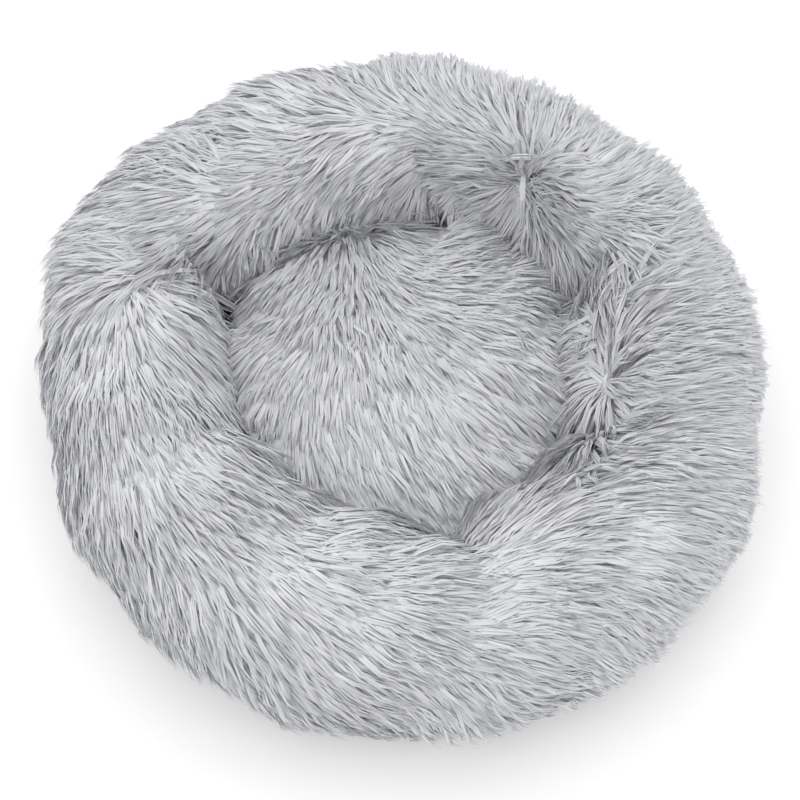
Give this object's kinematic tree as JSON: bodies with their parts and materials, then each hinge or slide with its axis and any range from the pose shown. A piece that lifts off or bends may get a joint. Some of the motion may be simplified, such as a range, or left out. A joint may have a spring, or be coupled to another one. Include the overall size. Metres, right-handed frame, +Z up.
{
  "type": "pet bed",
  "caption": "Round long-pile pet bed: a stuffed ring round a sleeping cushion, on a woven base with grip dots and a zip.",
  "frame": {"origin": "middle of the underside, on the surface that the bed stands on", "axes": "+Z up, +X along the zip towards its closed end, -Y towards the front"},
  "size_m": [0.59, 0.59, 0.178],
  "materials": {
    "fur": "matte",
    "grey_thread": "matte",
    "liner_cloth": "matte",
    "fibre_fill": "matte",
    "base_cloth": "matte",
    "silicone": "satin",
    "zip_tape": "matte",
    "zip_coil": "satin",
    "zip_metal": "satin",
    "label_cloth": "matte"
  },
  "bodies": {
    "bed": {"ring_cover_front": "fur", "ring_cover_back": "fur", "cushion_cover": "fur", "ring_seam_thread": "grey_thread", "inner_seam_thread": "grey_thread", "pinch_tacks": "grey_thread", "base_seam_thread": "grey_thread", "base_split_thread": "grey_thread", "zip_thread": "grey_thread", "ring_liner": "liner_cloth", "cushion_liner": "liner_cloth", "ring_fill": "fibre_fill", "cushion_fill": "fibre_fill", "base_panel_front": "base_cloth", "base_panel_back": "base_cloth", "grip_dots": "silicone", "zip_tape_front": "zip_tape", "zip_tape_back": "zip_tape", "zip_coil_front": "zip_coil", "zip_coil_back": "zip_coil", "zip_top_stops": "zip_metal", "zip_bottom_stop": "zip_metal", "care_label": "label_cloth"},
    "slider": {"zip_slider": "zip_metal"},
    "pull": {"zip_pull": "zip_metal"}
  },
  "joints": [
    {"name": "zip_slide", "type": "slide", "parent": "bed", "child": "slider", "axis": [1, 0, 0], "range_m": [-0.267, 0]},
    {"name": "pull_hinge", "type": "hinge", "parent": "slider", "child": "pull", "pos_m": [0.1335, 0, 0.00145], "axis": [0, -1, 0], "range_deg": [0, 165]}
  ]
}
